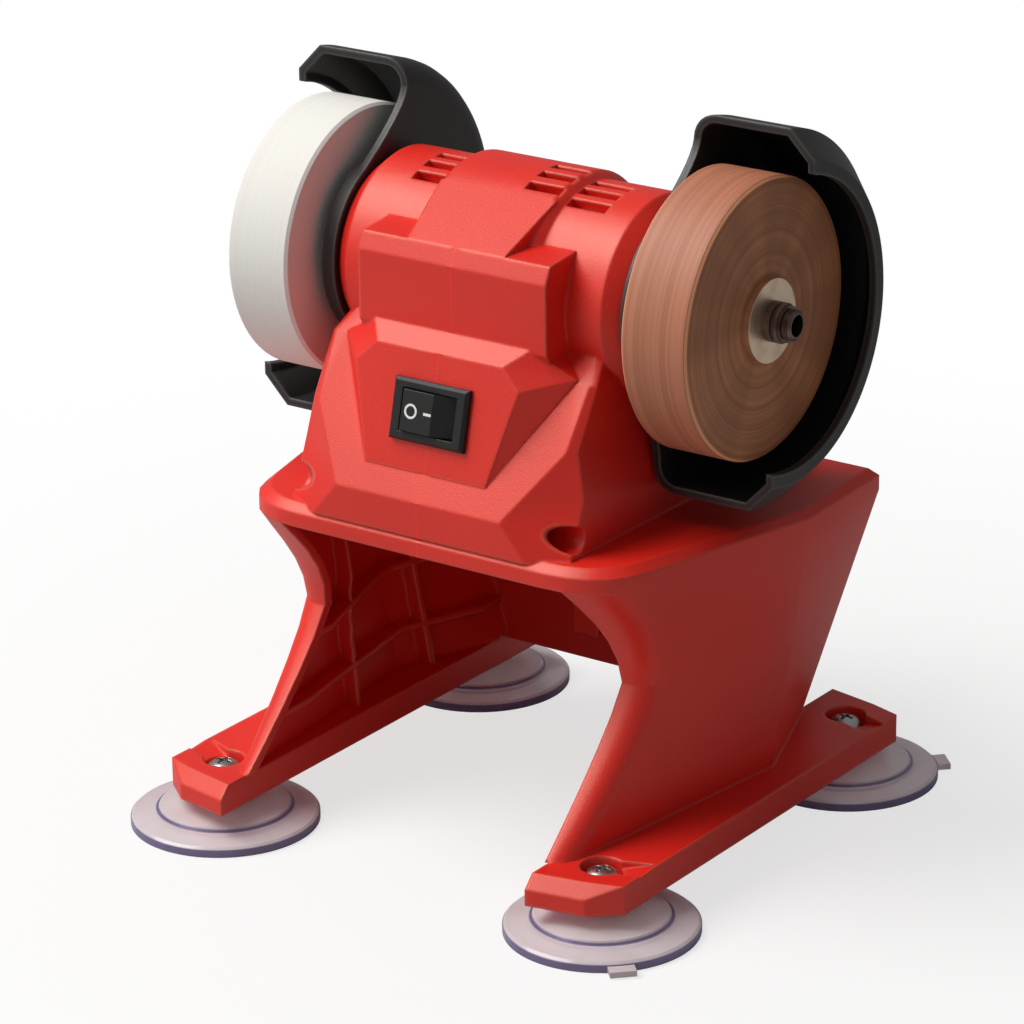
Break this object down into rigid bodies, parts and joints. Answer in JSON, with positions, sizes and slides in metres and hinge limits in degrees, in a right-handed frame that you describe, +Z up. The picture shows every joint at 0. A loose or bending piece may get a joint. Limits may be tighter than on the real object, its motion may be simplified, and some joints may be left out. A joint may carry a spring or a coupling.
{
  "type": "bench grinder",
  "caption": "Small cordless bench grinder: red moulded housing, white and brown wheels under curved guards, rocker switch, slide-on battery and suction-cup feet.",
  "frame": {"origin": "on the bench, below the middle of the spindle and in the middle of the foot print", "axes": "+Z up, +X along the spindle to the brown wheel, -Y towards the user and the switch"},
  "size_m": [0.177, 0.172, 0.2014],
  "materials": {
    "red_plastic": "fine moulded grain",
    "guard_plastic": "satin charcoal",
    "black_plastic": "satin",
    "white_abrasive": "fine chalky grain",
    "brown_abrasive": "fine grain with turned streaks",
    "steel": "turned",
    "dark_steel": "blackened",
    "screw_steel": "bright zinc",
    "bearing_steel": "ground",
    "magnet": "dull",
    "carbon": "dull",
    "lamination": "dull",
    "copper": "enamelled",
    "contact": "bright",
    "cell_wrap": "satin",
    "cup_vinyl": "clear, soft",
    "red_wire": "satin",
    "black_wire": "satin"
  },
  "bodies": {
    "base": {"housing_left": "red_plastic", "housing_right": "red_plastic", "housing_bolts": "screw_steel", "housing_nuts": "screw_steel", "guard_left": "guard_plastic", "guard_right": "guard_plastic", "guard_screws": "screw_steel", "bearing_outer_rings": "bearing_steel", "motor_can": "steel", "motor_magnets": "magnet", "brush_plate": "black_plastic", "carbon_brushes": "carbon", "brush_arms": "contact", "switch_body": "black_plastic", "switch_terminals": "contact", "battery_dock": "black_plastic", "dock_screws": "screw_steel", "dock_terminals": "contact", "latch_pin": "steel", "suction_cups": "cup_vinyl", "foot_washers": "steel", "foot_screws": "screw_steel", "red_leads": "red_wire", "black_lead": "black_wire"},
    "rotor": {"spindle": "steel", "inner_flanges": "dark_steel", "white_wheel": "white_abrasive", "brown_wheel": "brown_abrasive", "outer_washers": "steel", "spindle_nuts": "dark_steel", "armature_core": "lamination", "armature_windings": "copper", "commutator": "contact", "bearing_inner_rings": "bearing_steel"},
    "ball_sets": {"bearing_balls": "bearing_steel"},
    "rocker": {"switch_rocker": "black_plastic"},
    "battery": {"battery_front_case": "black_plastic", "battery_back_case": "red_plastic", "battery_cells": "cell_wrap", "cell_straps": "bearing_steel"},
    "latch": {"battery_latch": "black_plastic"}
  },
  "joints": [
    {"name": "spindle_spin", "type": "hinge", "parent": "base", "child": "rotor", "pos_m": [0, 0, 0.152], "axis": [1, 0, 0], "continuous": true},
    {"name": "balls_roll", "type": "hinge", "parent": "base", "child": "ball_sets", "pos_m": [0, 0, 0.152], "axis": [1, 0, 0], "continuous": true},
    {"name": "rocker_tilt", "type": "hinge", "parent": "base", "child": "rocker", "pos_m": [0, -0.0453, 0.12538], "axis": [0, -0.2375, -0.9714], "range_deg": [0, 18]},
    {"name": "battery_slide", "type": "slide", "parent": "base", "child": "battery", "axis": [0, 0, 1], "range_m": [0, 0.085]},
    {"name": "latch_tilt", "type": "hinge", "parent": "base", "child": "latch", "pos_m": [0, 0.0596, 0.092], "axis": [1, 0, 0], "range_deg": [-10, 6]}
  ],
  "couplings": [
    {"joint": "balls_roll", "follows": "spindle_spin", "ratio": 0.3722}
  ]
}
